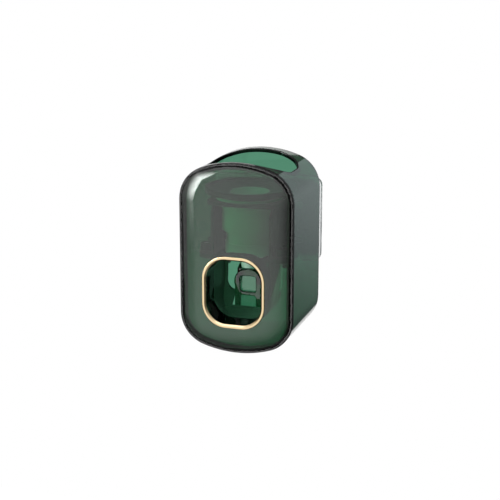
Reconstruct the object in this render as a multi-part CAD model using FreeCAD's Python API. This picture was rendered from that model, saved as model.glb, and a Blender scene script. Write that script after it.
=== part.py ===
import FreeCAD, Part
import math
import os

# Every solid is drawn from the middle of the housing's rear face, in millimetres: X to the
# right as seen from the front, -Y forwards and Z up. On export the solids are moved so that
# the origin is the middle of the wall pad's back face.

# Housing: a crowned outline, run straight back
WIDTH = 67.0
HEIGHT = 110.0
CORNER_RADIUS = 19.5
TOP_CROWN_RADIUS = 60.0
BASE_CROWN_RADIUS = 64.0
WALL = 2.2
REAR_ROUND = 2.0
RIM_LAND = 1.3
RIM_ROUND = 0.5
REBATE_DEPTH = 1.5

# Opening for the tube, cut down through the crowned top around the pump's axis
OPENING_WIDTH = 51.6
OPENING_LENGTH = 44.8
OPENING_CORNER = 18.0
OPENING_ROUND = 0.5

# Front cover: a flat face that rolls off towards its edge
COVER_RISE = 4.7
COVER_SIDE = 0.9
COVER_ROLL = 11.5
COVER_WALL = 2.2
COVER_GAP = 0.15
SEAM_GAP = 0.45
COVER_ROUND = 0.5
LIP_LENGTH = 2.4
LIP_WALL = 1.4
LIP_FIT = 0.1

# Brush window in the cover, with its collar and trim ring
WINDOW_WIDTH = 32.6
WINDOW_HEIGHT = 37.4
WINDOW_CORNER = 11.8
WINDOW_DROP = 18.2
COLLAR_WALL = 1.5
COLLAR_LENGTH = 13.9
RING_BAND = 2.2
RING_SEAT = 1.0
RING_PROUD = 0.6
RING_ROUND = 0.5
RING_BEVEL = 0.8
RING_FIT = 0.05

# Wall plate with two studs, and the pad behind it
PAD_THICKNESS = 1.0
PAD_MARGIN = 3.0
PLATE_THICKNESS = 2.8
PLATE_PROUD = 0.3
PLATE_HEIGHT = 51.0
PLATE_CORNER = 5.0
PLATE_ROUND = 0.6
PLATE_RISE = 12.5
HANG_GAP = 0.2
HANG_LIFT = 9.0
STUD_SPAN = 26.0
STUD_RISE = 8.0
STUD_NECK_RADIUS = 2.2
STUD_HEAD_RADIUS = 4.0
STUD_HEAD_THICKNESS = 1.5
STUD_FIT = 0.3

# Dish and socket that take the neck of the tube
DISH_RISE = 34.4
DISH_RADIUS = 25.5
DISH_FLOOR = 1.6
DISH_RIM = 1.5
DISH_RIM_RISE = 1.4
DISH_SINK = 2.0
DISH_ROOM = 0.8
SPIGOT_WALL = 1.5
SPIGOT_LENGTH = 3.4
SOCKET_BORE = 12.4
SOCKET_WALL = 3.6
SOCKET_LENGTH = 19.9
SOCKET_FLANGE = 1.6
SOCKET_FLANGE_WIDTH = 3.5
SOCKET_FLOOR = 1.8
SOCKET_PORT = 5.5
SEAT_FIT = 0.1
TUBE_NECK_RADIUS = 6.0
GROMMET_LIP = 2.3
GROMMET_MOUTH_LENGTH = 3.5
INLET_VALVE_THICKNESS = 1.2
INLET_FLAP_RADIUS = 6.2
INLET_SLIT = 0.6
INLET_HINGE_WIDTH = 5.0

# Pump body: stepped cylinder, with a cross bore for the piston
NECK_LENGTH = 3.5
WAIST_STEP = 1.0
WAIST_LENGTH = 7.1
BARREL_STEP = 0.8
BARREL_LENGTH = 6.4
TAPER_STEP = 4.8
TAPER_LENGTH = 2.5
CHAMBER_BORE = 6.2
PISTON_BORE = 5.5
BOSS_WALL = 1.7
BOSS_ROOM = 0.5
BOSS_REACH = 15.5
SPRING_SEAT_REACH = 7.5
OUTLET_OFFSET = 5.0
OUTLET_BORE = 2.4

# Piston, its seal and its return spring
PISTON_LENGTH = 5.5
PISTON_SETBACK = 7.8
PISTON_FIT = 0.2
SEAL_WIDTH = 2.2
SEAL_DEPTH = 1.0
SEAL_FIT = 0.06
ROD_RADIUS = 2.4
HEAD_RADIUS = 6.0
HEAD_THICKNESS = 1.8
HEAD_STANDOFF = 5.5
WIRE_RADIUS = 0.4
SPRING_RADIUS = 4.4
SPRING_TURNS = 6
SPRING_STEPS = 24
SPRING_END_GAP = 0.2

# Nozzle and its duckbill valve
NOZZLE_LENGTH = 6.0
NOZZLE_FLANGE = 1.7
NOZZLE_FLANGE_RADIUS = 5.6
NOZZLE_ROOT_RADIUS = 4.3
NOZZLE_TIP_RADIUS = 3.3
NOZZLE_BORE = 2.2
DUCKBILL_RADIUS = 4.1
DUCKBILL_FLANGE = 1.0
DUCKBILL_LENGTH = 3.0
DUCKBILL_ROOT = 1.9
DUCKBILL_TIP = 1.3
DUCKBILL_SKIN = 0.6
DUCKBILL_SLIT = 0.3

# Frame that carries pump and lever
CHEEK_THICKNESS = 1.8
CHEEK_FRONT_REACH = 15.6
CHEEK_REAR_REACH = 18.0
CHEEK_CORNER = 5.0
DECK_WIDTH = 42.0
DECK_LENGTH = 40.0
DECK_CORNER = 8.0
DECK_THICKNESS = 2.0
SOCKET_ROOM = 0.4
LUG_RADIUS = 5.0
EAR_THICKNESS = 2.0
EAR_RADIUS = 4.2
POST_SPAN = 46.0
POST_RADIUS = 3.4
POST_RISES = (24.0, 4.0)

# Screws
SCREW_RADIUS = 1.25
SCREW_LENGTH = 8.0
SCREW_HEAD_RADIUS = 2.6
SCREW_HEAD_HEIGHT = 1.6
SCREW_FIT = 0.05

# Trough that takes the head of the brush
TROUGH_GAP = 0.3
TROUGH_WALL = 1.8
SCOOP_RADIUS = 24.0
LUG_ROOM = 1.6
FORK_SIDE_ROOM = 7.2
FORK_EDGE_ROOM = 1.5
FORK_FRONT_ROOM = 1.4
SLOT_STEP_DROP = 26.0
SLOT_CORNER = 6.0

# Lever: push plate in front of its pivot, beam and post behind it
PIVOT_SETBACK = 11.8
NOSE_ARM = 12.8
PIN_RADIUS = 1.5
PIN_FIT = 0.05
PIN_END = 2.2
CLIP_THICKNESS = 0.6
CLIP_WIDTH = 1.6
CLIP_BITE = 0.35
CLIP_FIT = 0.05
HUB_WALL = 1.5
HUB_END_GAP = 0.3
FORK_REACH = 16.5
FORK_THICKNESS = 3.5
FORK_FLOOR = 1.0
FORK_DROP = 3.5
FORK_LENGTH = 24.0
FORK_WIDTH = 16.0
FORK_HEAD_WIDTH = 11.0
FORK_SHOULDER = 10.0
FORK_ROUND = 0.6
LEG_WIDTH = 3.2
EYE_MARGIN = 4.0
EYE_HEIGHT = 9.6
CROSSBAR = 2.0
EYE_CORNER = 1.5
WEB_THICKNESS = 2.6
BEAM_WIDTH = 7.0
BEAM_HEIGHT = 3.8
POST_THICKNESS = 2.8
NOSE_RADIUS = 2.0
NOSE_GAP = 0.3
STOP_RIB = 1.6
STOP_GAP = 0.3
STOP_HEIGHT = 6.0

# Radii that follow from the socket's bore
SPIGOT_RADIUS = SOCKET_BORE - SEAT_FIT
THROAT_RADIUS = SPIGOT_RADIUS - SPIGOT_WALL
GROMMET_MOUTH_RADIUS = SPIGOT_RADIUS - GROMMET_LIP
SOCKET_RADIUS = SOCKET_BORE + SOCKET_WALL
SEAT_RADIUS = SOCKET_RADIUS + SOCKET_FLANGE_WIDTH
NECK_RADIUS = SOCKET_BORE
WAIST_RADIUS = NECK_RADIUS + WAIST_STEP
BARREL_RADIUS = WAIST_RADIUS + BARREL_STEP
TAPER_RADIUS = BARREL_RADIUS - TAPER_STEP
BOSS_RADIUS = PISTON_BORE + BOSS_WALL
HUB_RADIUS = PIN_RADIUS + PIN_FIT + HUB_WALL
CHEEK_IN = SOCKET_RADIUS + SOCKET_ROOM
CHEEK_OUT = CHEEK_IN + CHEEK_THICKNESS

# Heights above the housing's middle, worked down from the dish
SEAT_Z = DISH_RISE - DISH_SINK
DECK_TOP = SEAT_Z - SOCKET_FLANGE
DECK_BASE = DECK_TOP - DECK_THICKNESS
GROMMET_TOP = SEAT_Z - SPIGOT_LENGTH
SOCKET_BASE = SEAT_Z - SOCKET_LENGTH
NECK_TOP = SOCKET_BASE + NECK_LENGTH
VALVE_TOP = NECK_TOP + INLET_VALVE_THICKNESS
GROMMET_BASE = VALVE_TOP + SOCKET_FLOOR
WAIST_BASE = SOCKET_BASE - WAIST_LENGTH
BARREL_BASE = WAIST_BASE - BARREL_LENGTH
TAPER_BASE = BARREL_BASE - TAPER_LENGTH
PISTON_Z = SOCKET_BASE - BOSS_ROOM - BOSS_RADIUS
PIVOT_Z = PISTON_Z - NOSE_ARM
FORK_TOP = PIVOT_Z - FORK_DROP
TROUGH_BASE = -WINDOW_DROP - WINDOW_HEIGHT / 2 - TROUGH_WALL
STUD_Z = PLATE_RISE + STUD_RISE

# Places along Y, worked forwards from the rear wall
POST_REAR_Y = -(WALL + STOP_RIB + STOP_GAP)
POST_FRONT_Y = POST_REAR_Y - POST_THICKNESS
NOSE_Y = POST_FRONT_Y + NOSE_RADIUS / 2
HEAD_REAR_Y = NOSE_Y - NOSE_RADIUS - NOSE_GAP
HEAD_FRONT_Y = HEAD_REAR_Y - HEAD_THICKNESS
BOSS_REAR_Y = HEAD_FRONT_Y - HEAD_STANDOFF
PUMP_Y = BOSS_REAR_Y - BOSS_REACH
SPRING_SEAT_Y = PUMP_Y - SPRING_SEAT_REACH
PISTON_FRONT_Y = PUMP_Y + PISTON_SETBACK
OUTLET_Y = PUMP_Y - OUTLET_OFFSET
PIVOT_Y = PUMP_Y + PIVOT_SETBACK
FORK_FRONT_Y = PIVOT_Y - FORK_REACH
FORK_REAR_Y = FORK_FRONT_Y + FORK_THICKNESS
CHEEK_FRONT_Y = PUMP_Y - CHEEK_FRONT_REACH
CHEEK_REAR_Y = PUMP_Y + CHEEK_REAR_REACH
EAR_FRONT_Y = CHEEK_REAR_Y - EAR_THICKNESS
DEPTH = DISH_RADIUS + DISH_ROOM - PUMP_Y
FACE_Y = -(DEPTH + COVER_RISE)
COVER_BACK_Y = -(DEPTH - REBATE_DEPTH + COVER_GAP)
COVER_INSET = RIM_LAND + SEAM_GAP
COLLAR_END_Y = FACE_Y + COLLAR_LENGTH
TROUGH_FRONT_Y = COLLAR_END_Y + TROUGH_GAP
TROUGH_REAR_Y = PIVOT_Y - LUG_RADIUS - LUG_ROOM
PLACE = FreeCAD.Vector(0, -(PAD_THICKNESS + PLATE_THICKNESS + HANG_GAP), -PLATE_RISE)

V = FreeCAD.Vector
ACROSS = V(1, 0, 0)
BACKWARD = V(0, 1, 0)
UPWARD = V(0, 0, 1)
SIDES = (-1, 1)
PLANE_TOLERANCE = 0.01
OVERCUT = 1.0


def line(start, end):
    return Part.LineSegment(start, end).toShape()


def arc(start, middle, end):
    return Part.Arc(start, middle, end).toShape()


def prism(wire, travel):
    return Part.Face(wire).extrude(travel)


def rod(radius, start, end):
    return Part.makeCylinder(radius, (end - start).Length, start, end - start)


def box(x_range, y_range, z_range):
    """Box between two limits on each axis."""
    low = V(x_range[0], y_range[0], z_range[0])
    return Part.makeBox(
        x_range[1] - x_range[0], y_range[1] - y_range[0], z_range[1] - z_range[0], low
    )


def turned(profile, base, axis):
    """Solid of revolution from (radius, distance along the axis) pairs."""
    points = [base + ACROSS * radius + axis * along for radius, along in profile]
    wire = Part.makePolygon(points + points[:1])
    return Part.Face(wire).revolve(base, axis, 360)


def rounded_wire(width, height, corner, centre, upward=UPWARD):
    """Rounded rectangle, width along X and height along the second direction."""
    sides = [ACROSS, upward, ACROSS * -1, upward * -1]
    reach = [width / 2 - corner, height / 2 - corner]
    starts = []
    arcs = []
    for turn in range(4):
        one = sides[turn]
        other = sides[(turn + 1) % 4]
        middle = centre + one * reach[turn % 2] + other * reach[(turn + 1) % 2]
        start = middle + one * corner
        end = middle + other * corner
        starts.append(start)
        arcs.append((arc(start, middle + (one + other) * (corner * math.sqrt(0.5)), end), end))
    edges = []
    for turn in range(4):
        edges.append(arcs[turn][0])
        edges.append(line(arcs[turn][1], starts[(turn + 1) % 4]))
    return Part.Wire(edges)


def corner_centre(crown_radius, way):
    """Centre of the housing's corner arc at the top (way 1) or the base (way -1)."""
    x = WIDTH / 2 - CORNER_RADIUS
    crown_z = HEIGHT / 2 - crown_radius
    rise = math.sqrt((crown_radius - CORNER_RADIUS) ** 2 - x ** 2)
    return x, way * (crown_z + rise), way * crown_z


def outline(inset, y):
    """Housing outline moved in by inset: straight sides, round corners, crowned ends."""
    radius = CORNER_RADIUS - inset
    half = WIDTH / 2 - inset
    ends = {}
    for way, crown_radius in ((1, TOP_CROWN_RADIUS), (-1, BASE_CROWN_RADIUS)):
        x, z, crown_z = corner_centre(crown_radius, way)
        toward = V(x, 0, z - crown_z).normalize()
        between = (toward + ACROSS).normalize()
        middle = V(x, y, z)
        ends[way] = (
            V(half, y, z),
            middle + between * radius,
            middle + toward * radius,
            V(0, y, way * (HEIGHT / 2 - inset)),
        )

    def left(point):
        return V(-point.x, point.y, point.z)

    side_top, corner_top, crown_top, peak = ends[1]
    side_base, corner_base, crown_base, low = ends[-1]
    return Part.Wire([
        line(side_base, side_top),
        arc(side_top, corner_top, crown_top),
        arc(crown_top, peak, left(crown_top)),
        arc(left(crown_top), left(corner_top), left(side_top)),
        line(left(side_top), left(side_base)),
        arc(left(side_base), left(corner_base), left(crown_base)),
        arc(left(crown_base), low, crown_base),
        arc(crown_base, corner_base, side_base),
    ])


def edges_on_plane(solid, y):
    """Edges that lie in the plane at y."""
    return [
        edge for edge in solid.Edges
        if abs(edge.BoundBox.YMin - y) < PLANE_TOLERANCE
        and abs(edge.BoundBox.YMax - y) < PLANE_TOLERANCE
    ]


def middle_of(edge):
    return edge.valueAt((edge.FirstParameter + edge.LastParameter) / 2)


def on_crown(point):
    """True where a point lies on the outer surface of the housing's crowned top."""
    x, z, crown_z = corner_centre(TOP_CROWN_RADIUS, 1)
    from_crown = math.hypot(point.x, point.z - crown_z) - TOP_CROWN_RADIUS
    from_corner = math.hypot(abs(point.x) - x, point.z - z) - CORNER_RADIUS
    return min(abs(from_crown), abs(from_corner)) < PLANE_TOLERANCE


def keyhole(x):
    """Cutter for one keyhole: the stud hangs in the slot and leaves by the round hole."""
    neck = STUD_NECK_RADIUS + STUD_FIT
    drop_z = STUD_Z - HANG_LIFT
    front = -(WALL + OVERCUT)
    slot = box((x - neck, x + neck), (front, OVERCUT), (drop_z, STUD_Z))
    top = rod(neck, V(x, front, STUD_Z), V(x, OVERCUT, STUD_Z))
    hole = rod(STUD_HEAD_RADIUS + STUD_FIT, V(x, front, drop_z), V(x, OVERCUT, drop_z))
    return slot.fuse([top, hole])


def housing_shell():
    body = prism(outline(0, 0), V(0, -DEPTH, 0))
    body = body.makeFillet(REAR_ROUND, edges_on_plane(body, 0))
    body = body.makeFillet(RIM_ROUND, edges_on_plane(body, -DEPTH))
    cavity = prism(outline(WALL, -WALL), V(0, -DEPTH, 0))
    rebate_y = -(DEPTH - REBATE_DEPTH)
    rebate = prism(outline(RIM_LAND, rebate_y), V(0, -REBATE_DEPTH - OVERCUT, 0))
    shell = body.cut([cavity, rebate])

    mouth = rounded_wire(
        OPENING_WIDTH, OPENING_LENGTH, OPENING_CORNER, V(0, PUMP_Y, 0), upward=BACKWARD
    )
    mouth = prism(mouth, V(0, 0, HEIGHT))
    shell = shell.cut(mouth)
    wall = mouth.Shells[0]
    rim = [
        edge for edge in shell.Edges
        if on_crown(middle_of(edge))
        and wall.distToShape(Part.Vertex(middle_of(edge)))[0] < PLANE_TOLERANCE
    ]
    shell = shell.makeFillet(OPENING_ROUND, rim)

    posts = []
    bores = []
    for side in SIDES:
        for rise in POST_RISES:
            foot = V(side * POST_SPAN / 2, -WALL, rise)
            tip = V(foot.x, CHEEK_REAR_Y, rise)
            posts.append(rod(POST_RADIUS, foot, tip))
            bores.append(rod(SCREW_RADIUS + SCREW_FIT, foot, tip))
    stop = box(
        (-BEAM_WIDTH / 2, BEAM_WIDTH / 2),
        (POST_REAR_Y + STOP_GAP, -WALL),
        (PISTON_Z - NOSE_RADIUS - STOP_HEIGHT, PISTON_Z - NOSE_RADIUS),
    )
    keyholes = [keyhole(side * STUD_SPAN / 2) for side in SIDES]
    return shell.fuse(posts + [stop]).cut(bores + keyholes)


def pillow(offset):
    """Solid bounded by the cover's front surface, moved in by offset all round."""
    drop = COVER_RISE - COVER_SIDE
    roll_radius = (COVER_ROLL ** 2 + drop ** 2) / (2 * drop)
    overhang = roll_radius - COVER_ROLL
    face_y = FACE_Y + offset
    back_y = COVER_BACK_Y + offset
    deep_y = face_y + roll_radius + OVERCUT
    full = prism(outline(COVER_INSET + offset - overhang, deep_y), V(0, face_y - deep_y, 0))
    full = full.makeFillet(roll_radius - offset, edges_on_plane(full, face_y))
    return full.common(prism(outline(COVER_INSET + offset, back_y), V(0, face_y - back_y, 0)))


def window_prism(margin, start_y, end_y):
    """Prism of the brush window's outline, grown by margin."""
    wire = rounded_wire(
        WINDOW_WIDTH + 2 * margin,
        WINDOW_HEIGHT + 2 * margin,
        WINDOW_CORNER + margin,
        V(0, start_y, -WINDOW_DROP),
    )
    return prism(wire, V(0, end_y - start_y, 0))


def front_cover():
    outer = pillow(0)
    outer = outer.makeFillet(COVER_ROUND, edges_on_plane(outer, -(DEPTH + COVER_SIDE)))
    skin = outer.cut(pillow(COVER_WALL))
    collar = window_prism(COLLAR_WALL, FACE_Y + COVER_WALL / 2, COLLAR_END_Y)
    lip_inset = WALL + LIP_FIT
    lip_travel = V(0, LIP_LENGTH, 0)
    lip = prism(outline(lip_inset, COVER_BACK_Y), lip_travel)
    lip = lip.cut(prism(outline(lip_inset + LIP_WALL, COVER_BACK_Y), lip_travel))
    seat = window_prism(RING_BAND + RING_FIT, FACE_Y - OVERCUT, FACE_Y + RING_SEAT)
    window = window_prism(0, FACE_Y - OVERCUT, COLLAR_END_Y + OVERCUT)
    return skin.fuse([collar, lip]).cut([seat, window])


def trim_ring():
    front_y = FACE_Y - RING_PROUD
    back_y = FACE_Y + RING_SEAT
    blank = window_prism(RING_BAND, front_y, back_y)
    blank = blank.makeFillet(RING_ROUND, edges_on_plane(blank, front_y))
    hole = window_prism(0, front_y - OVERCUT, back_y + OVERCUT)
    ring = blank.cut(hole)
    half = WINDOW_WIDTH / 2 + PLANE_TOLERANCE
    inner = [
        edge for edge in edges_on_plane(ring, front_y)
        if edge.BoundBox.XMax < half and edge.BoundBox.XMin > -half
    ]
    return ring.makeChamfer(RING_BEVEL, inner)


def plate_wire(margin, y):
    width = WIDTH + 2 * PLATE_PROUD - 2 * margin
    height = PLATE_HEIGHT - 2 * margin
    return rounded_wire(width, height, PLATE_CORNER, V(0, y, PLATE_RISE))


def wall_plate():
    back_y = HANG_GAP + PLATE_THICKNESS
    plate = prism(plate_wire(0, back_y), V(0, -PLATE_THICKNESS, 0))
    plate = plate.makeFillet(PLATE_ROUND, edges_on_plane(plate, HANG_GAP))
    studs = []
    for side in SIDES:
        root = V(side * STUD_SPAN / 2, HANG_GAP, STUD_Z)
        neck = V(root.x, -(WALL + STUD_FIT), STUD_Z)
        tip = V(root.x, neck.y - STUD_HEAD_THICKNESS, STUD_Z)
        studs.append(rod(STUD_NECK_RADIUS, root, neck))
        studs.append(rod(STUD_HEAD_RADIUS, neck, tip))
    return plate.fuse(studs)


def adhesive_pad():
    return prism(plate_wire(PAD_MARGIN, HANG_GAP + PLATE_THICKNESS), V(0, PAD_THICKNESS, 0))


def on_pump_axis(profile):
    return turned(profile, V(0, PUMP_Y, 0), UPWARD)


def on_piston_axis(profile):
    return turned(profile, V(0, 0, PISTON_Z), BACKWARD)


def on_nozzle_axis(profile):
    return turned(profile, V(0, OUTLET_Y, 0), UPWARD)


def funnel_dish():
    """Dish whose floor falls towards the throat, with a rim and a spigot."""
    floor_edge = DISH_RISE + DISH_FLOOR
    rim_top = floor_edge + DISH_RIM_RISE
    return on_pump_axis([
        (THROAT_RADIUS, GROMMET_TOP),
        (THROAT_RADIUS, SEAT_Z + DISH_FLOOR),
        (DISH_RADIUS - DISH_RIM, floor_edge),
        (DISH_RADIUS - DISH_RIM, rim_top),
        (DISH_RADIUS, rim_top),
        (DISH_RADIUS, DISH_RISE),
        (SEAT_RADIUS, SEAT_Z),
        (SPIGOT_RADIUS, SEAT_Z),
        (SPIGOT_RADIUS, GROMMET_TOP),
    ])


def tube_grommet():
    return on_pump_axis([
        (TUBE_NECK_RADIUS, GROMMET_BASE),
        (TUBE_NECK_RADIUS, GROMMET_TOP - GROMMET_MOUTH_LENGTH),
        (GROMMET_MOUTH_RADIUS, GROMMET_TOP),
        (SPIGOT_RADIUS, GROMMET_TOP),
        (SPIGOT_RADIUS, GROMMET_BASE),
    ])


def inlet_socket():
    skirt_bore = NECK_RADIUS + SEAT_FIT
    return on_pump_axis([
        (SOCKET_RADIUS, SOCKET_BASE),
        (SOCKET_RADIUS, DECK_TOP),
        (SEAT_RADIUS, DECK_TOP),
        (SEAT_RADIUS, SEAT_Z),
        (SOCKET_BORE, SEAT_Z),
        (SOCKET_BORE, GROMMET_BASE),
        (SOCKET_PORT, GROMMET_BASE),
        (SOCKET_PORT, VALVE_TOP),
        (skirt_bore, VALVE_TOP),
        (skirt_bore, SOCKET_BASE),
    ])


def inlet_valve():
    """Soft disc with a flap cut free all round but at its hinge."""
    low = V(0, PUMP_Y, NECK_TOP)
    high = V(0, PUMP_Y, VALVE_TOP)
    disc = rod(NECK_RADIUS, low, high)
    slit = rod(INLET_FLAP_RADIUS, low, high).cut(rod(INLET_FLAP_RADIUS - INLET_SLIT, low, high))
    hinge = box(
        (-INLET_HINGE_WIDTH / 2, INLET_HINGE_WIDTH / 2),
        (PUMP_Y, PUMP_Y + NECK_RADIUS),
        (NECK_TOP, VALVE_TOP),
    )
    return disc.cut(slit.cut(hinge))


def pump_body():
    solid = on_pump_axis([
        (0, TAPER_BASE),
        (TAPER_RADIUS, TAPER_BASE),
        (BARREL_RADIUS, BARREL_BASE),
        (BARREL_RADIUS, WAIST_BASE),
        (WAIST_RADIUS, WAIST_BASE),
        (WAIST_RADIUS, SOCKET_BASE),
        (NECK_RADIUS, SOCKET_BASE),
        (NECK_RADIUS, NECK_TOP),
        (0, NECK_TOP),
    ])
    boss = rod(BOSS_RADIUS, V(0, PUMP_Y, PISTON_Z), V(0, BOSS_REAR_Y, PISTON_Z))
    chamber = rod(CHAMBER_BORE, V(0, PUMP_Y, BARREL_BASE), V(0, PUMP_Y, NECK_TOP))
    cross = rod(PISTON_BORE, V(0, SPRING_SEAT_Y, PISTON_Z), V(0, BOSS_REAR_Y, PISTON_Z))
    outlet = rod(OUTLET_BORE, V(0, OUTLET_Y, TAPER_BASE), V(0, OUTLET_Y, WAIST_BASE))
    return solid.fuse(boss).cut([chamber, cross, outlet])


def pump_piston():
    radius = PISTON_BORE - PISTON_FIT
    groove_front = PISTON_FRONT_Y + (PISTON_LENGTH - SEAL_WIDTH) / 2
    groove_rear = groove_front + SEAL_WIDTH
    piston_rear = PISTON_FRONT_Y + PISTON_LENGTH
    return on_piston_axis([
        (0, PISTON_FRONT_Y),
        (radius, PISTON_FRONT_Y),
        (radius, groove_front),
        (radius - SEAL_DEPTH, groove_front),
        (radius - SEAL_DEPTH, groove_rear),
        (radius, groove_rear),
        (radius, piston_rear),
        (ROD_RADIUS, piston_rear),
        (ROD_RADIUS, HEAD_FRONT_Y),
        (HEAD_RADIUS, HEAD_FRONT_Y),
        (HEAD_RADIUS, HEAD_REAR_Y),
        (0, HEAD_REAR_Y),
    ])


def piston_seal():
    inner = PISTON_BORE - PISTON_FIT - SEAL_DEPTH
    outer = PISTON_BORE - SEAL_FIT
    front = PISTON_FRONT_Y + (PISTON_LENGTH - SEAL_WIDTH) / 2
    rear = front + SEAL_WIDTH
    return on_piston_axis([(inner, front), (outer, front), (outer, rear), (inner, rear)])


def spring_point(turn, start_y, pitch):
    angle = 2 * math.pi * turn
    return V(
        SPRING_RADIUS * math.cos(angle),
        start_y + pitch * turn,
        PISTON_Z + SPRING_RADIUS * math.sin(angle),
    )


def least_gap(start_y, pitch):
    """Least gap between the wire's turns, measured on points along its middle."""
    points = [
        spring_point(step / SPRING_STEPS, start_y, pitch)
        for step in range(SPRING_TURNS * SPRING_STEPS + 1)
    ]
    apart = min(
        point.distanceToPoint(other)
        for index, point in enumerate(points)
        for other in points[index + SPRING_STEPS // 2:]
    )
    return apart - 2 * WIRE_RADIUS


def return_spring():
    """One unbroken helix of wire between the spring seat and the piston."""
    start_y = SPRING_SEAT_Y + WIRE_RADIUS + SPRING_END_GAP
    end_y = PISTON_FRONT_Y - WIRE_RADIUS - SPRING_END_GAP
    pitch = (end_y - start_y) / SPRING_TURNS
    edges = []
    for quarter in range(4 * SPRING_TURNS):
        points = [spring_point(quarter / 4 + part / 8, start_y, pitch) for part in range(3)]
        edges.append(arc(*points))
    path = Part.Wire(edges)
    first = path.Edges[0]
    normal = first.tangentAt(first.FirstParameter)
    ring = Part.makeCircle(WIRE_RADIUS, spring_point(0, start_y, pitch), normal)
    print("spring: least gap to itself %.2f mm" % least_gap(start_y, pitch))
    return path.makePipeShell([Part.Wire(ring)], True, False)


def nozzle():
    flange_base = TAPER_BASE - NOZZLE_FLANGE
    recess = DUCKBILL_RADIUS + SEAT_FIT
    recess_base = TAPER_BASE - DUCKBILL_FLANGE
    tip = TAPER_BASE - NOZZLE_LENGTH
    return on_nozzle_axis([
        (NOZZLE_BORE, tip),
        (NOZZLE_TIP_RADIUS, tip),
        (NOZZLE_ROOT_RADIUS, flange_base),
        (NOZZLE_FLANGE_RADIUS, flange_base),
        (NOZZLE_FLANGE_RADIUS, TAPER_BASE),
        (recess, TAPER_BASE),
        (recess, recess_base),
        (NOZZLE_BORE, recess_base),
    ])


def outlet_valve():
    """Soft duckbill: flange, tapered bill and the slit across its tip."""
    flange_base = TAPER_BASE - DUCKBILL_FLANGE
    tip = flange_base - DUCKBILL_LENGTH
    bill = on_nozzle_axis([
        (DUCKBILL_ROOT - DUCKBILL_SKIN, TAPER_BASE),
        (DUCKBILL_RADIUS, TAPER_BASE),
        (DUCKBILL_RADIUS, flange_base),
        (DUCKBILL_ROOT, flange_base),
        (DUCKBILL_TIP, tip),
        (0, tip),
        (0, tip + DUCKBILL_SKIN),
        (DUCKBILL_TIP - DUCKBILL_SKIN, tip + DUCKBILL_SKIN),
    ])
    slit = box(
        (-DUCKBILL_TIP / 2, DUCKBILL_TIP / 2),
        (OUTLET_Y - DUCKBILL_SLIT / 2, OUTLET_Y + DUCKBILL_SLIT / 2),
        (tip - OVERCUT, tip + 2 * DUCKBILL_SKIN),
    )
    return bill.cut(slit)


def cheek(side):
    """One side plate of the frame, with its lug for the lever's pin."""
    inner = side * CHEEK_IN
    travel = V(side * CHEEK_THICKNESS, 0, 0)
    plate = Part.makePolygon([
        V(inner, CHEEK_FRONT_Y, BARREL_BASE),
        V(inner, CHEEK_FRONT_Y, DECK_BASE - CHEEK_CORNER),
        V(inner, CHEEK_FRONT_Y + CHEEK_CORNER, DECK_BASE),
        V(inner, CHEEK_REAR_Y, DECK_BASE),
        V(inner, CHEEK_REAR_Y, BARREL_BASE),
        V(inner, CHEEK_FRONT_Y, BARREL_BASE),
    ])
    lug = Part.makePolygon([
        V(inner, PIVOT_Y - LUG_RADIUS, BARREL_BASE),
        V(inner, PIVOT_Y + LUG_RADIUS, BARREL_BASE),
        V(inner, PIVOT_Y + LUG_RADIUS, PIVOT_Z),
        V(inner, PIVOT_Y - LUG_RADIUS, PIVOT_Z),
        V(inner, PIVOT_Y - LUG_RADIUS, BARREL_BASE),
    ])
    pivot = V(inner, PIVOT_Y, PIVOT_Z)
    foot = rod(LUG_RADIUS, pivot, pivot + travel)
    return prism(plate, travel).fuse([prism(lug, travel), foot])


def ear(side, rise):
    """Ear at the back of a cheek, over one of the housing's screw posts."""
    reach = POST_SPAN / 2
    x_range = sorted((side * CHEEK_IN, side * reach))
    arm = box(x_range, (EAR_FRONT_Y, CHEEK_REAR_Y), (rise - EAR_RADIUS, rise + EAR_RADIUS))
    x = side * reach
    end = rod(EAR_RADIUS, V(x, EAR_FRONT_Y, rise), V(x, CHEEK_REAR_Y, rise))
    return arm.fuse(end)


def tab(side, y, low, high):
    """Tab that joins frame and trough, standing out from the cheek."""
    reach = CHEEK_OUT + EAR_RADIUS
    x_range = sorted((side * CHEEK_IN, side * reach))
    arm = box(x_range, (y - EAR_RADIUS, y + EAR_RADIUS), (low, high))
    end = rod(EAR_RADIUS, V(side * reach, y, low), V(side * reach, y, high))
    return arm.fuse(end)


def tab_places():
    reach = CHEEK_OUT + EAR_RADIUS
    lines = (CHEEK_FRONT_Y + EAR_RADIUS, TROUGH_REAR_Y - EAR_RADIUS)
    return [(side, side * reach, y) for side in SIDES for y in lines]


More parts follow.
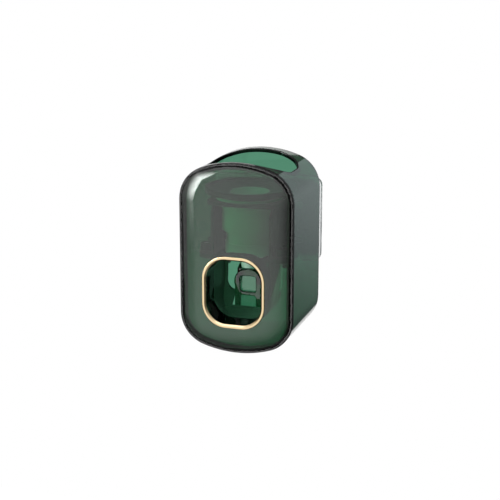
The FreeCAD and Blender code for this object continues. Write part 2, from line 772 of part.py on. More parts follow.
def pump_frame():
    wire = rounded_wire(
        DECK_WIDTH, DECK_LENGTH, DECK_CORNER, V(0, PUMP_Y, DECK_BASE), upward=BACKWARD
    )
    deck = prism(wire, V(0, 0, DECK_THICKNESS))
    pieces = [cheek(side) for side in SIDES]
    holes = [rod(CHEEK_IN, V(0, PUMP_Y, DECK_BASE), V(0, PUMP_Y, DECK_TOP))]
    clearance = SCREW_RADIUS + 2 * SCREW_FIT
    for side in SIDES:
        for rise in POST_RISES:
            pieces.append(ear(side, rise))
            x = side * POST_SPAN / 2
            holes.append(rod(clearance, V(x, EAR_FRONT_Y, rise), V(x, CHEEK_REAR_Y, rise)))
    boss_top = BARREL_BASE + SCREW_LENGTH - EAR_THICKNESS
    for side, x, y in tab_places():
        pieces.append(tab(side, y, BARREL_BASE, BARREL_BASE + EAR_THICKNESS))
        pieces.append(rod(POST_RADIUS, V(x, y, BARREL_BASE), V(x, y, boss_top)))
        holes.append(rod(SCREW_RADIUS + SCREW_FIT, V(x, y, BARREL_BASE), V(x, y, boss_top)))
    pin_hole = PIN_RADIUS + PIN_FIT
    holes.append(rod(pin_hole, V(-CHEEK_OUT, PIVOT_Y, PIVOT_Z), V(CHEEK_OUT, PIVOT_Y, PIVOT_Z)))
    return deck.fuse(pieces).cut(holes).removeSplitter()


def screw(seat, direction):
    """Pan-head screw whose head bears on the seat and whose shank runs on from it."""
    top = seat - direction * SCREW_HEAD_HEIGHT
    head = rod(SCREW_HEAD_RADIUS, seat, top)
    rim = [
        edge for edge in head.Edges
        if edge.CenterOfMass.distanceToPoint(top) < PLANE_TOLERANCE
    ]
    head = head.makeFillet(SCREW_HEAD_HEIGHT / 2, rim)
    return head.fuse(rod(SCREW_RADIUS, seat, seat + direction * SCREW_LENGTH))


def frame_screws():
    screws = []
    for side in SIDES:
        for rise in POST_RISES:
            screws.append(screw(V(side * POST_SPAN / 2, EAR_FRONT_Y, rise), BACKWARD))
    for side, x, y in tab_places():
        screws.append(screw(V(x, y, BARREL_BASE - EAR_THICKNESS), UPWARD))
    return Part.makeCompound(screws)


def trough_section(inset):
    """Cross-section of the trough: open top, straight sides and a rounded base."""
    half = CHEEK_OUT - inset
    base = TROUGH_BASE + inset
    top = BARREL_BASE + inset
    corner = WINDOW_CORNER + TROUGH_WALL - inset
    diagonal = corner * math.sqrt(0.5)
    y = TROUGH_FRONT_Y - inset
    return Part.Wire([
        line(V(half, y, top), V(half, y, base + corner)),
        arc(
            V(half, y, base + corner),
            V(half - corner + diagonal, y, base + corner - diagonal),
            V(half - corner, y, base),
        ),
        line(V(half - corner, y, base), V(corner - half, y, base)),
        arc(
            V(corner - half, y, base),
            V(corner - half - diagonal, y, base + corner - diagonal),
            V(-half, y, base + corner),
        ),
        line(V(-half, y, base + corner), V(-half, y, top)),
        line(V(-half, y, top), V(half, y, top)),
    ])


def trough_profile(inset):
    """Side view of the trough: its base sweeps up to the rear like a scoop."""
    radius = SCOOP_RADIUS - inset
    diagonal = radius * math.sqrt(0.5)
    x = -CHEEK_OUT
    y = TROUGH_REAR_Y - SCOOP_RADIUS
    z = TROUGH_BASE + SCOOP_RADIUS
    top = BARREL_BASE + inset
    return Part.Wire([
        arc(V(x, y, z - radius), V(x, y + diagonal, z - diagonal), V(x, y + radius, z)),
        line(V(x, y + radius, z), V(x, y + radius, top)),
        line(V(x, y + radius, top), V(x, y, top)),
        line(V(x, y, top), V(x, y, z - radius)),
    ])


def trough_solid(inset):
    """Trough block, moved in by inset at its sides, base and rear."""
    block = prism(trough_section(inset), V(0, TROUGH_REAR_Y - TROUGH_FRONT_Y, 0))
    return block.common(prism(trough_profile(inset), ACROSS * (2 * CHEEK_OUT)))


def lever_slot():
    """Cutter for the lever's way through the trough: wide beside the hub, narrow at its foot."""
    front = FORK_FRONT_Y - FORK_FRONT_ROOM
    rear = TROUGH_REAR_Y + OVERCUT
    narrow = FORK_WIDTH / 2 + FORK_EDGE_ROOM
    foot = box((-narrow, narrow), (front, rear), (-HEIGHT / 2, BARREL_BASE))
    height = SLOT_STEP_DROP + BARREL_BASE + SLOT_CORNER
    middle = V(0, front, height / 2 - SLOT_STEP_DROP)
    wide = rounded_wire(FORK_WIDTH + 2 * FORK_SIDE_ROOM, height, SLOT_CORNER, middle)
    return foot.fuse(prism(wide, V(0, rear - front, 0)))


def brush_chamber():
    trough = trough_solid(0).cut(trough_solid(TROUGH_WALL)).cut(lever_slot())
    tabs = []
    holes = []
    clearance = SCREW_RADIUS + 2 * SCREW_FIT
    low = BARREL_BASE - EAR_THICKNESS
    inside = box(
        (-CHEEK_IN, CHEEK_IN),
        (TROUGH_FRONT_Y, TROUGH_REAR_Y),
        (low, BARREL_BASE),
    )
    for side, x, y in tab_places():
        tabs.append(tab(side, y, low, BARREL_BASE).cut(inside))
        holes.append(rod(clearance, V(x, y, low), V(x, y, BARREL_BASE)))
    return trough.fuse(tabs).cut(holes).removeSplitter()


def fork_plate():
    """Push plate of the lever: narrow round head, and two pockets with a bar between them."""
    top = FORK_TOP
    base = top - FORK_LENGTH
    shoulder = top - FORK_SHOULDER
    half = FORK_WIDTH / 2
    head = FORK_HEAD_WIDTH / 2
    y = FORK_FRONT_Y
    wire = Part.Wire([
        line(V(half, y, base), V(half, y, shoulder)),
        arc(V(half, y, shoulder), V((half + head) / 2, y, top - head / 2), V(head / 2, y, top)),
        line(V(head / 2, y, top), V(-head / 2, y, top)),
        arc(V(-head / 2, y, top), V(-(half + head) / 2, y, top - head / 2), V(-half, y, shoulder)),
        line(V(-half, y, shoulder), V(-half, y, base)),
        line(V(-half, y, base), V(half, y, base)),
    ])
    plate = prism(wire, V(0, FORK_THICKNESS, 0))
    pocket = V(0, FORK_THICKNESS - FORK_FLOOR, 0)
    gap = FORK_WIDTH - 2 * LEG_WIDTH
    eye_z = top - EYE_MARGIN - EYE_HEIGHT / 2
    eye = prism(rounded_wire(gap, EYE_HEIGHT, EYE_CORNER, V(0, y, eye_z)), pocket)
    slot_top = eye_z - EYE_HEIGHT / 2 - CROSSBAR
    slot_height = slot_top - base + OVERCUT + EYE_CORNER
    slot_wire = rounded_wire(gap, slot_height, EYE_CORNER, V(0, y, slot_top - slot_height / 2))
    plate = plate.cut([eye, prism(slot_wire, pocket)])
    return plate.makeFillet(FORK_ROUND, edges_on_plane(plate, y))


def push_lever():
    hub_half = CHEEK_IN - HUB_END_GAP
    hub = rod(HUB_RADIUS, V(-hub_half, PIVOT_Y, PIVOT_Z), V(hub_half, PIVOT_Y, PIVOT_Z))
    pieces = [hub]
    web_top = FORK_TOP - FORK_ROUND
    web_foot = FORK_TOP - EYE_MARGIN - EYE_HEIGHT / 2
    web_half = HUB_RADIUS * math.sqrt(0.5)
    for side in SIDES:
        x = side * (FORK_WIDTH / 2 - LEG_WIDTH)
        web = Part.makePolygon([
            V(x, FORK_REAR_Y, web_top),
            V(x, PIVOT_Y, PIVOT_Z + web_half),
            V(x, PIVOT_Y, PIVOT_Z - web_half),
            V(x, FORK_REAR_Y, web_foot),
            V(x, FORK_REAR_Y, web_top),
        ])
        pieces.append(prism(web, V(side * WEB_THICKNESS, 0, 0)))
    half = BEAM_WIDTH / 2
    low = PIVOT_Z - BEAM_HEIGHT / 2
    high = PIVOT_Z + BEAM_HEIGHT / 2
    crank = Part.makePolygon([
        V(-half, PIVOT_Y, low),
        V(-half, POST_REAR_Y, low),
        V(-half, POST_REAR_Y, PISTON_Z),
        V(-half, POST_FRONT_Y, PISTON_Z),
        V(-half, POST_FRONT_Y, high),
        V(-half, PIVOT_Y, high),
        V(-half, PIVOT_Y, low),
    ])
    pieces.append(prism(crank, V(BEAM_WIDTH, 0, 0)))
    pieces.append(rod(NOSE_RADIUS, V(-half, NOSE_Y, PISTON_Z), V(half, NOSE_Y, PISTON_Z)))
    bore = rod(
        PIN_RADIUS + PIN_FIT, V(-CHEEK_IN, PIVOT_Y, PIVOT_Z), V(CHEEK_IN, PIVOT_Y, PIVOT_Z)
    )
    return fork_plate().fuse(pieces).cut(bore).removeSplitter()


def lever_pin():
    half = CHEEK_OUT + PIN_END
    groove = CHEEK_OUT + CLIP_FIT
    pin = rod(PIN_RADIUS, V(-half, PIVOT_Y, PIVOT_Z), V(half, PIVOT_Y, PIVOT_Z))
    grooves = []
    for side in SIDES:
        start = V(side * groove, PIVOT_Y, PIVOT_Z)
        end = V(side * (groove + CLIP_THICKNESS + CLIP_FIT), PIVOT_Y, PIVOT_Z)
        grooves.append(rod(PIN_RADIUS, start, end).cut(rod(PIN_RADIUS - CLIP_BITE, start, end)))
    return pin.cut(grooves)


def pin_clips():
    clips = []
    inner = PIN_RADIUS - CLIP_BITE + CLIP_FIT
    for side in SIDES:
        start = V(side * (CHEEK_OUT + CLIP_FIT), PIVOT_Y, PIVOT_Z)
        end = start + ACROSS * (side * CLIP_THICKNESS)
        ring = rod(inner + CLIP_WIDTH, start, end).cut(rod(inner, start, end))
        x_range = sorted((start.x, end.x))
        throat = box(
            x_range,
            (PIVOT_Y - inner, PIVOT_Y + inner),
            (PIVOT_Z - inner - CLIP_WIDTH - OVERCUT, PIVOT_Z),
        )
        clips.append(ring.cut(throat))
    return Part.makeCompound(clips)


NODES = (
    adhesive_pad,
    wall_plate,
    housing_shell,
    front_cover,
    trim_ring,
    funnel_dish,
    tube_grommet,
    inlet_socket,
    inlet_valve,
    pump_body,
    pump_piston,
    piston_seal,
    return_spring,
    nozzle,
    outlet_valve,
    pump_frame,
    frame_screws,
    brush_chamber,
    push_lever,
    lever_pin,
    pin_clips,
)

os.makedirs("parts", exist_ok=True)
for node in NODES:
    solid = node()
    solid.translate(PLACE)
    solid.exportStep("parts/%s.step" % node.__name__)
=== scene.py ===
import math

import bpy
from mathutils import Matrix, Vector


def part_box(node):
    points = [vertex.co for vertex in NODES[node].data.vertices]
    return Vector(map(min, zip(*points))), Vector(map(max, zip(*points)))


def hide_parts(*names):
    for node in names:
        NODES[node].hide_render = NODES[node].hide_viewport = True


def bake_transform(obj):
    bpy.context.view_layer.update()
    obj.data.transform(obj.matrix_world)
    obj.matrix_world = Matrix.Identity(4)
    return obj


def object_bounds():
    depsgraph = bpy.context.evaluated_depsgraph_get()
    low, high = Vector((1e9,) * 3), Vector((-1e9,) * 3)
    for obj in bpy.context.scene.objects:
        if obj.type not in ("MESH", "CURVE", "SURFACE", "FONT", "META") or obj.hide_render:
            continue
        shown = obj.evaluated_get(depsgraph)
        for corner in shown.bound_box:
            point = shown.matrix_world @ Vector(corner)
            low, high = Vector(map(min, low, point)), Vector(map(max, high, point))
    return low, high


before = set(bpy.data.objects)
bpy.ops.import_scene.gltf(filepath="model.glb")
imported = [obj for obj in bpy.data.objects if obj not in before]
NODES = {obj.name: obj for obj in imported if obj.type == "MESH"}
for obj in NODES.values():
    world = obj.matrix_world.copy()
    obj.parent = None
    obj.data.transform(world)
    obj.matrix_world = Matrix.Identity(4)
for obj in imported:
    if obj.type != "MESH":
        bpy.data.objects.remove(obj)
CAD_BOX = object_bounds()

MM = 0.001
WHITE = (1, 1, 1)

# Camera, in metres, at the viewpoint of the photograph
CAMERA_PLACE = (0.218149, -0.705636, 0.172890)
CAMERA_TARGET = (-0.000851, -0.03265, -0.013988)
CAMERA_LENS_MM = 90.54
SENSOR_MM = 36.0

# Clear plastic: what a wall lets through of each colour, and how thick that wall is
PLASTIC_IOR = 1.58
SHELL_PASSES = (0.10, 0.28, 0.18)
SHELL_WALL = 2.2 * MM
CHAMBER_PASSES = (0.55, 0.75, 0.65)
CHAMBER_WALL = 1.8 * MM
PLATE_PASSES = (0.86, 0.88, 0.88)
PLATE_WALL = 2.8 * MM

# Colours of what isn't clear; the second of a pair is where the first drifts to
DARK_COLOUR = (0.02, 0.03, 0.027)
DARK_PALER = (0.03, 0.042, 0.038)
PUMP_COLOUR = (0.50, 0.80, 0.62)
PUMP_PALER = (0.54, 0.82, 0.65)
# Pale bore of the dish: painted light, so that the throat looks lit
BORE_LIT_COLOUR = (0.30, 0.42, 0.35)
FOAM_COLOUR = (0.70, 0.70, 0.68)
FOAM_PALER = (0.76, 0.76, 0.74)
GOLD_COLOUR = (0.54, 0.42, 0.25)
GOLD_PALER = (0.60, 0.47, 0.29)
STEEL_COLOUR = (0.52, 0.52, 0.51)
STEEL_PALER = (0.62, 0.62, 0.61)

# Roughness of the finishes
SHELL_ROUGHNESS = 0.03
INNER_ROUGHNESS = 0.05
PLATE_ROUGHNESS = 0.5
PUMP_ROUGHNESS = 0.35
DARK_ROUGHNESS = 0.4
FOAM_ROUGHNESS = 0.8
GOLD_ROUGHNESS = 0.2
STEEL_ROUGHNESS = 0.25

# Fine detail of the surfaces. A noise is its cells per metre and its layers, and a height is
# that of its relief. Over a range of the noise, roughness varies by a share of itself.
WEAR_NOISE = (60.0, 4.0)
WEAR_RANGE = (0.3, 0.7)
WEAR_SHARE = 0.3
WAVE_NOISE = (25.0, 1.0)
WAVE_STRENGTH = 0.02
WAVE_HEIGHT = 0.2 * MM
MOTTLE_NOISE = (45.0, 3.0)
SHEEN_NOISE = (300.0, 2.0)
SHEEN_RANGE = (0.2, 0.8)
SHEEN_SHARE = 0.2
GRAIN_NOISE = (1500.0, 2.0)
GRAIN_STRENGTH = 0.04
GRAIN_HEIGHT = 0.05 * MM
MARK_NOISE = (250.0, 3.0)
MARK_RANGE = (0.2, 0.8)
MARK_SHARE = 0.3
MARK_STRENGTH = 0.05
MARK_HEIGHT = 0.05 * MM

# Marks on metal are drawn out along the axis with the smallest value
GOLD_MARKS = (1, 1, 0.2)
STEEL_MARKS = (0.1, 1, 1)

# The dish, the pump and the tube opening share one upright axis
PUMP_AXIS_Y = -35.0 * MM

# Outline of the housing: straight sides, crowned ends and round corners
HALF_WIDTH = 33.5 * MM
CORNER_RADIUS = 19.5 * MM
TOP_CROWN_RADIUS = 60.0 * MM
BASE_CROWN_RADIUS = 64.0 * MM

# Painted shade on the shell: dark lines at the rim, at the edge of the cover, in the window's
# collar and round the tube opening, where the thick clear edges look dark. The shine is the
# share of gloss that a painted dark place keeps.
EDGE_SHADE_COLOUR = (0.0006, 0.0006, 0.0006)
EDGE_SHINE = 0.42
LINE_SOFTNESS = 0.1 * MM
RIM_LAND_DEPTH = 0.12 * MM
RIM_LINE_DEPTH = 2.2 * MM
RIM_OUTER_LINE = 0.45 * MM
OPENING_WIDTH = 51.6 * MM
OPENING_LENGTH = 44.8 * MM
OPENING_CORNER = 18.0 * MM
OPENING_BAND = 0.95 * MM
OPENING_LOWEST = 25.0 * MM
WINDOW_WIDTH = 32.6 * MM
WINDOW_HEIGHT = 37.4 * MM
WINDOW_CORNER = 11.8 * MM
WINDOW_MIDDLE_Z = -30.7 * MM
COLLAR_WALL = 1.6 * MM

# The cover's painted dark line widens towards its lower left, over a span of x plus leaning z
COVER_INSET = 1.75 * MM
COVER_LINE = 0.3 * MM
COVER_FAR_LINE = 1.5 * MM
FAR_SPAN = (-25.0 * MM, 5.0 * MM)
FAR_LEAN = 0.8

# Trough: painted shade, dark, a little less so on its floor
TROUGH_SHADE_COLOUR = (0.035, 0.105, 0.062)
TROUGH_SHINE = 0.3
TROUGH_FLOOR = (-49.0 * MM, -44.0 * MM)
TROUGH_FLOOR_SHADE = 0.85

# Slanted line, in y and z, below which the right-hand side of trough and collar gets no
# painted shade
SLANT_START = (-34.6 * MM, -21.1 * MM)
SLANT_NORMAL = (-0.641, 0.767)
SLANT_SOFTNESS = 0.2 * MM
COLLAR_FLANK = 16.0 * MM
TROUGH_FLANK = 10.0 * MM

# Radius of the dish's bore, which is painted pale as painted light in the throat
DISH_BORE = 11.2 * MM

# Studio, in metres: a pale floor well below the object and a backdrop behind it
FLOOR_Z = -0.45
FLOOR_FRONT_Y = -0.3
FLOOR_REAR_Y = 0.45
FLOOR_GREY = 0.25
FLOOR_WHITE = 0.85
BACKDROP_Y = 0.95
BACKDROP_HEIGHT = 0.8
BACKDROP_GREY = 0.72
COVE_STEPS = 16
STAGE_HALF_WIDTH = 1.5

# Light of the room: bright towards the front and left, over a range of the cosine, and less
# so to either side, over ranges of the direction's x
ROOM_DARK = 0.15
ROOM_FRONT = 1.7
ROOM_FRONT_TOWARD = (-0.40, -0.80, 0.45)
ROOM_FADE = (-0.2, 0.78)
ROOM_RIGHT_FADE = (-0.36, -0.22)
ROOM_RIGHT = (1.02, 0.9)
ROOM_LEFT_FADE = (-0.8, -0.38)
ROOM_LEFT = (0.58, 1.0)

# Card behind on the right: its sides in x, ends in z, and levels over a range of z
FLAG_Y = 0.42
FLAG_SIDES = (0.05, 1.6)
FLAG_ENDS = (-0.44, 0.7)
FLAG_FADE = (-0.26, 0.0)
FLAG_LEVELS = (0.1, 0.72)
FLAG_COLOUR = (0.86, 1.0, 1.0)

# Softboxes stand round this point
LIGHT_CENTRE = (0.0, -0.035, 0.0)

# Clear walls behind one another need many bounces
LIGHT_BOUNCES = 24
TRANSPARENT_BOUNCES = 32


def clear_nodes(owner):
    owner.use_nodes = True
    tree = owner.node_tree
    tree.nodes.clear()
    return tree


def add(tree, kind, **sockets):
    """New node with the values of its input sockets set by name."""
    node = tree.nodes.new(kind)
    for name, value in sockets.items():
        node.inputs[name.replace("_", " ")].default_value = value
    return node


class Field:
    """A value that varies over a surface, put together from Math nodes."""

    def __init__(self, tree, socket):
        self.tree = tree
        self.socket = socket

    def join(self, operation, *others):
        node = self.tree.nodes.new("ShaderNodeMath")
        node.operation = operation
        self.tree.links.new(self.socket, node.inputs[0])
        for slot, other in enumerate(others, 1):
            if isinstance(other, Field):
                self.tree.links.new(other.socket, node.inputs[slot])
            else:
                node.inputs[slot].default_value = other
        return Field(self.tree, node.outputs["Value"])

    def __add__(self, other):
        return self.join("ADD", other)

    def __sub__(self, other):
        return self.join("SUBTRACT", other)

    def __mul__(self, other):
        return self.join("MULTIPLY", other)

    def __abs__(self):
        return self.join("ABSOLUTE")

    def above(self, other):
        return self.join("MAXIMUM", other)

    def below(self, other):
        return self.join("MINIMUM", other)

    def ramp(self, start, end, low=0.0, high=1.0):
        """Smooth step from low at start to high at end."""
        node = self.tree.nodes.new("ShaderNodeMapRange")
        node.interpolation_type = "SMOOTHSTEP"
        values = {"From Min": start, "From Max": end, "To Min": low, "To Max": high}
        for name, value in values.items():
            node.inputs[name].default_value = value
        self.tree.links.new(self.socket, node.inputs["Value"])
        return Field(self.tree, node.outputs["Result"])

    def within(self, start, end, softness):
        """1 between start and end, with soft edges."""
        rise = self.ramp(start - softness, start + softness)
        fall = self.ramp(end - softness, end + softness, 1.0, 0.0)
        return rise * fall

    def varied(self, span, middle, share):
        """Value about a middle, off by a share of it at either end of a span."""
        return self.ramp(*span, middle * (1 - share), middle * (1 + share))


def hypotenuse(first, second):
    return (first * first + second * second).join("SQRT")


def split_vector(tree, vector):
    split = tree.nodes.new("ShaderNodeSeparateXYZ")
    tree.links.new(vector, split.inputs["Vector"])
    return [Field(tree, split.outputs[axis]) for axis in ("X", "Y", "Z")]


def places(tree):
    """The three coordinates of a surface point, in the frame of the part."""
    coordinate = tree.nodes.new("ShaderNodeTexCoord")
    return split_vector(tree, coordinate.outputs["Object"])


def noise(tree, scale, detail, stretch=(1, 1, 1)):
    """Noise over the surface of a part, from 0 to 1."""
    coordinate = tree.nodes.new("ShaderNodeTexCoord")
    mapping = add(tree, "ShaderNodeMapping", Scale=stretch)
    texture = add(tree, "ShaderNodeTexNoise", Scale=scale, Detail=detail)
    tree.links.new(coordinate.outputs["Object"], mapping.inputs["Vector"])
    tree.links.new(mapping.outputs["Vector"], texture.inputs["Vector"])
    return Field(tree, texture.outputs["Fac"])


def any_of(tree, *names):
    """Value that is 1 for any of the named kinds of ray."""
    path = tree.nodes.new("ShaderNodeLightPath")
    value = Field(tree, path.outputs[names[0]])
    for name in names[1:]:
        value = value.above(Field(tree, path.outputs[name]))
    return value


def blend_colour(tree, factor, first, second):
    mix = tree.nodes.new("ShaderNodeMix")
    mix.data_type = "RGBA"
    mix.inputs["A"].default_value = (*first, 1)
    mix.inputs["B"].default_value = (*second, 1)
    tree.links.new(factor.socket, mix.inputs["Factor"])
    return mix.outputs["Result"]


def blend_shader(tree, factor, first, second):
    mix = tree.nodes.new("ShaderNodeMixShader")
    tree.links.new(factor.socket, mix.inputs["Fac"])
    tree.links.new(first, mix.inputs[1])
    tree.links.new(second, mix.inputs[2])
    return mix.outputs["Shader"]


def bump(tree, shader, height, strength, distance):
    node = add(tree, "ShaderNodeBump", Strength=strength, Distance=distance)
    tree.links.new(height.socket, node.inputs["Height"])
    tree.links.new(node.outputs["Normal"], shader.inputs["Normal"])


def diffuse(tree, colour):
    return add(tree, "ShaderNodeBsdfDiffuse", Color=(*colour, 1)).outputs["BSDF"]


def glow(tree, strength, colour=WHITE):
    """Light of a strength that varies."""
    emission = add(tree, "ShaderNodeEmission", Color=(*colour, 1))
    tree.links.new(strength.socket, emission.inputs["Strength"])
    return emission.outputs["Emission"]


def new_material(name):
    material = bpy.data.materials.new(name)
    tree = clear_nodes(material)
    output = tree.nodes.new("ShaderNodeOutputMaterial")
    return material, tree, output


def absorb(tree, output, passes, depth):
    """Volume that lets the given share of each colour through a wall of the given depth."""
    strength = [-math.log(share) / depth for share in passes]
    density = max(strength)
    colour = [1 - value / density for value in strength]
    node = add(tree, "ShaderNodeVolumeAbsorption", Color=(*colour, 1), Density=density)
    tree.links.new(node.outputs["Volume"], output.inputs["Volume"])


def clear_plastic(name, passes, depth, roughness, painted_shade=None):
    """Tinted clear plastic that also lets the lamps shine on what is behind it.

    A painted shade, if given, gives the places painted dark, their colour and their shine.
    """
    material, tree, output = new_material(name)
    glass = add(tree, "ShaderNodeBsdfPrincipled", IOR=PLASTIC_IOR, Transmission_Weight=1.0)
    glass.inputs["Base Color"].default_value = (*WHITE, 1)
    worn = noise(tree, *WEAR_NOISE).varied(WEAR_RANGE, roughness, WEAR_SHARE)
    tree.links.new(worn.socket, glass.inputs["Roughness"])
    bump(tree, glass, noise(tree, *WAVE_NOISE), WAVE_STRENGTH, WAVE_HEIGHT)
    surface = glass.outputs["BSDF"]
    if painted_shade:
        darkness, dark_colour, shine = painted_shade(tree)
        # Painted shade: the marked places turn dark and, but for their shine, matt
        shade = blend_colour(tree, darkness, WHITE, dark_colour)
        tree.links.new(shade, glass.inputs["Base Color"])
        matt = diffuse(tree, dark_colour)
        surface = blend_shader(tree, darkness * (1 - shine), surface, matt)
    passing = add(tree, "ShaderNodeBsdfTransparent", Color=(*WHITE, 1)).outputs["BSDF"]
    surface = blend_shader(tree, any_of(tree, "Is Shadow Ray"), surface, passing)
    tree.links.new(surface, output.inputs["Surface"])
    absorb(tree, output, passes, depth)
    return material


def rounded_distance(across, along, width, length, corner):
    """Signed distance from a rounded rectangle about the origin."""
    out_across = abs(across) - (width / 2 - corner)
    out_along = abs(along) - (length / 2 - corner)
    reach = hypotenuse(out_across.above(0.0), out_along.above(0.0))
    inside = out_across.above(out_along).below(0.0)
    return reach + inside - corner


def crowned_end(across, along, crown_middle, crown_radius):
    """Distance from the sides and from the crowned end that lies towards greater values."""
    corner_across = HALF_WIDTH - CORNER_RADIUS
    arm = crown_radius - CORNER_RADIUS
    rise = math.sqrt(arm ** 2 - corner_across ** 2)
    from_crown = along - crown_middle
    crown = hypotenuse(across, from_crown) - crown_radius
    beside = (across - corner_across).above(0.0)
    beyond = (from_crown - rise).above(0.0)
    corner = hypotenuse(beside, beyond) - CORNER_RADIUS
    in_corner = (across * rise).join("GREATER_THAN", from_crown * corner_across)
    return crown + (corner - crown) * in_corner


def housing_distance(x, z):
    """Signed distance from the outline of the housing."""
    low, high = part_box("housing_shell")
    top = crowned_end(abs(x), z, high[2] - TOP_CROWN_RADIUS, TOP_CROWN_RADIUS)
    base = crowned_end(abs(x), z * -1.0, -low[2] - BASE_CROWN_RADIUS, BASE_CROWN_RADIUS)
    return top.above(base)


def dark_side(x, y, z, flank):
    """Mask of painted shade: 1 but on the right-hand flank below the slanted line, where it
    is 0.
    """
    forward = (y - SLANT_START[0]) * SLANT_NORMAL[0]
    upward = (z - SLANT_START[1]) * SLANT_NORMAL[1]
    above = (forward + upward).ramp(-SLANT_SOFTNESS, SLANT_SOFTNESS)
    return above.above(x.ramp(flank, flank + LINE_SOFTNESS, 1.0, 0.0))


def housing_shade_lines(tree):
    """Painted shade: dark lines at the rim of the housing and on the wall of the tube
    opening.
    """
    x, y, z = places(tree)
    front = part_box("housing_shell")[0][1]
    rim = y.within(front + RIM_LAND_DEPTH, front + RIM_LINE_DEPTH, LINE_SOFTNESS)
    outer = housing_distance(x, z).ramp(-RIM_OUTER_LINE - LINE_SOFTNESS, -RIM_OUTER_LINE)
    rim = rim.above(outer * y.ramp(front + RIM_LINE_DEPTH, front + RIM_LAND_DEPTH))
    distance = rounded_distance(
        x, y - PUMP_AXIS_Y, OPENING_WIDTH, OPENING_LENGTH, OPENING_CORNER
    )
    wall = distance.within(-OPENING_BAND, OPENING_BAND, LINE_SOFTNESS)
    high = z.ramp(OPENING_LOWEST, OPENING_LOWEST + LINE_SOFTNESS)
    return rim.above(wall * high), EDGE_SHADE_COLOUR, EDGE_SHINE


def cover_shade_lines(tree):
    """Painted shade: a dark line at the outer edge of the cover, and a dark collar behind its
    window.
    """
    x, y, z = places(tree)
    middle_z = (CAD_BOX[0][2] + CAD_BOX[1][2]) / 2
    line = (x + (z - middle_z) * FAR_LEAN).ramp(*FAR_SPAN, COVER_FAR_LINE, COVER_LINE)
    edge = housing_distance(x, z) + line
    edge = edge.ramp(-COVER_INSET - LINE_SOFTNESS, -COVER_INSET + LINE_SOFTNESS)
    distance = rounded_distance(
        x, z - WINDOW_MIDDLE_Z, WINDOW_WIDTH, WINDOW_HEIGHT, WINDOW_CORNER
    )
    collar = distance.ramp(COLLAR_WALL, COLLAR_WALL + LINE_SOFTNESS, 1.0, 0.0)
    collar = collar * dark_side(x, y, z, COLLAR_FLANK)
    return edge.above(collar), EDGE_SHADE_COLOUR, EDGE_SHINE


def trough_shade(tree):
    """Painted shade in the trough: dark, less so on its floor, but for the lower part of one
    flank.
    """
    x, y, z = places(tree)
    shade = z.ramp(*TROUGH_FLOOR, TROUGH_FLOOR_SHADE, 1.0)
    return dark_side(x, y, z, TROUGH_FLANK) * shade, TROUGH_SHADE_COLOUR, TROUGH_SHINE


def mottle(first, second):
    """Colour that drifts between two, as a function of the node tree."""
    def colour(tree):
        return blend_colour(tree, noise(tree, *MOTTLE_NOISE), first, second)
    return colour


def dish_colour_with_lit_bore(tree):
    """Dark dish with its bore painted pale, as painted light in the throat."""
    x, y, _ = places(tree)
    radius = hypotenuse(x, y - PUMP_AXIS_Y)
    bore = radius.ramp(DISH_BORE - LINE_SOFTNESS, DISH_BORE + LINE_SOFTNESS, 1.0, 0.0)
    return blend_colour(tree, bore, DARK_COLOUR, BORE_LIT_COLOUR)


def moulded(name, colour, roughness):
    """Opaque moulded plastic with a fine grain."""
    material, tree, output = new_material(name)
    shader = tree.nodes.new("ShaderNodeBsdfPrincipled")
    tree.links.new(colour(tree), shader.inputs["Base Color"])
    rough = noise(tree, *SHEEN_NOISE).varied(SHEEN_RANGE, roughness, SHEEN_SHARE)
    tree.links.new(rough.socket, shader.inputs["Roughness"])
    bump(tree, shader, noise(tree, *GRAIN_NOISE), GRAIN_STRENGTH, GRAIN_HEIGHT)
    tree.links.new(shader.outputs["BSDF"], output.inputs["Surface"])
    return material


def metal(name, first, second, roughness, stretch):
    """Metal with faint marks drawn out along one axis."""
    material, tree, output = new_material(name)
    shader = add(tree, "ShaderNodeBsdfPrincipled", Metallic=1.0)
    marks = noise(tree, *MARK_NOISE, stretch)
    tree.links.new(blend_colour(tree, marks, first, second), shader.inputs["Base Color"])
    rough = marks.varied(MARK_RANGE, roughness, MARK_SHARE)
    tree.links.new(rough.socket, shader.inputs["Roughness"])
    bump(tree, shader, marks, MARK_STRENGTH, MARK_HEIGHT)
    tree.links.new(shader.outputs["BSDF"], output.inputs["Surface"])
    return material


def dress(material, *names):
    for name in names:
        mesh = NODES[name].data
        mesh.materials.clear()
        mesh.materials.append(material)


